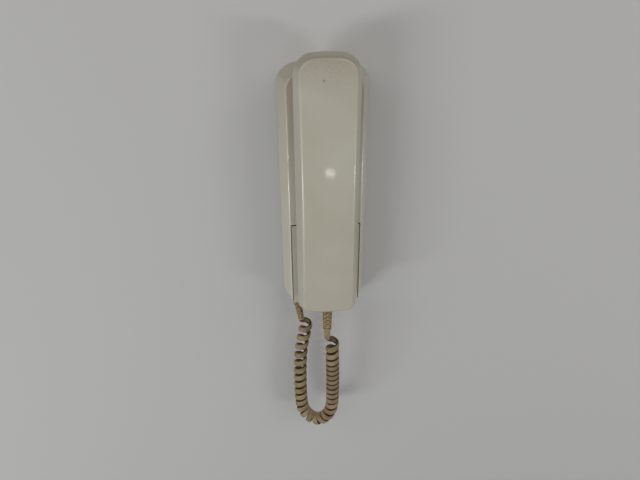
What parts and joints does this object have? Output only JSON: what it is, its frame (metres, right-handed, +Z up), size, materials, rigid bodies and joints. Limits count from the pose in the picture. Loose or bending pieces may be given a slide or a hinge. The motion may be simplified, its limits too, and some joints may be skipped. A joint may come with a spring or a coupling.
{
  "type": "wall intercom handset station",
  "caption": "Slim wall intercom: a crowned handset hangs upright in slanted wells of a narrow tapered base on a wall bracket, joined to it by a hanging curly cord.",
  "frame": {"origin": "centre of the bracket's two wall screw holes, on the wall plane", "axes": "+X to the right, +Y into the wall so that the front faces -Y, +Z up"},
  "size_m": [0.0734, 0.052, 0.3505],
  "materials": {
    "abs_handset": "aged cream moulded ABS, satin gloss",
    "abs_base": "aged cream moulded ABS, satin",
    "abs_rear": "moulded ABS, matt",
    "zinc_steel": "zinc-plated steel",
    "spring_steel": "drawn spring wire",
    "board": "paper laminate board",
    "sleeve_dark": "dark plastic",
    "laminated_iron": "iron core",
    "winding": "taped winding",
    "terminal_plastic": "pale moulded plastic",
    "brass_screw": "turned brass",
    "cone_paper": "pressed paper",
    "rubber_dark": "moulded rubber",
    "foam": "soft foam",
    "capsule_can": "drawn aluminium can",
    "lead_pvc": "thin insulated leads",
    "pvc_cord": "tan soft PVC, slightly soiled"
  },
  "bodies": {
    "base": {"wall_bracket": "zinc_steel", "base_rear_cover": "abs_rear", "base_front_cover": "abs_base", "lower_panel": "abs_base", "base_screws": "zinc_steel", "panel_screw": "zinc_steel", "circuit_board": "board", "board_screws": "zinc_steel", "capacitors": "sleeve_dark", "transformer_core": "laminated_iron", "transformer_coil": "winding", "terminal_block": "terminal_plastic", "terminal_screws": "brass_screw", "speaker_frame": "zinc_steel", "speaker_cone": "cone_paper", "speaker_magnet": "laminated_iron", "hook_switch": "sleeve_dark", "hook_spring": "spring_steel", "base_cord_boot": "pvc_cord", "curly_cord": "pvc_cord"},
    "hook": {"hook_plunger": "abs_base"},
    "handset": {"handset_front_shell": "abs_handset", "handset_rear_shell": "abs_handset", "handset_screws": "zinc_steel", "receiver_capsule": "sleeve_dark", "receiver_gasket": "rubber_dark", "receiver_pad": "foam", "microphone_capsule": "capsule_can", "microphone_holder": "rubber_dark", "handset_leads": "lead_pvc", "handset_cord_boot": "pvc_cord"}
  },
  "joints": [
    {"name": "handset_lift", "type": "slide", "parent": "base", "child": "handset", "axis": [0, -0.9272, 0.3746], "range_m": [0, 0.06], "deforming": ["curly_cord"]},
    {"name": "hook_travel", "type": "slide", "parent": "base", "child": "hook", "axis": [0, -1, 0], "range_m": [0, 0.005], "deforming": ["hook_spring"]}
  ],
  "couplings": [
    {"joint": "hook_travel", "follows": "handset_lift", "ratio": 0.0833}
  ]
}
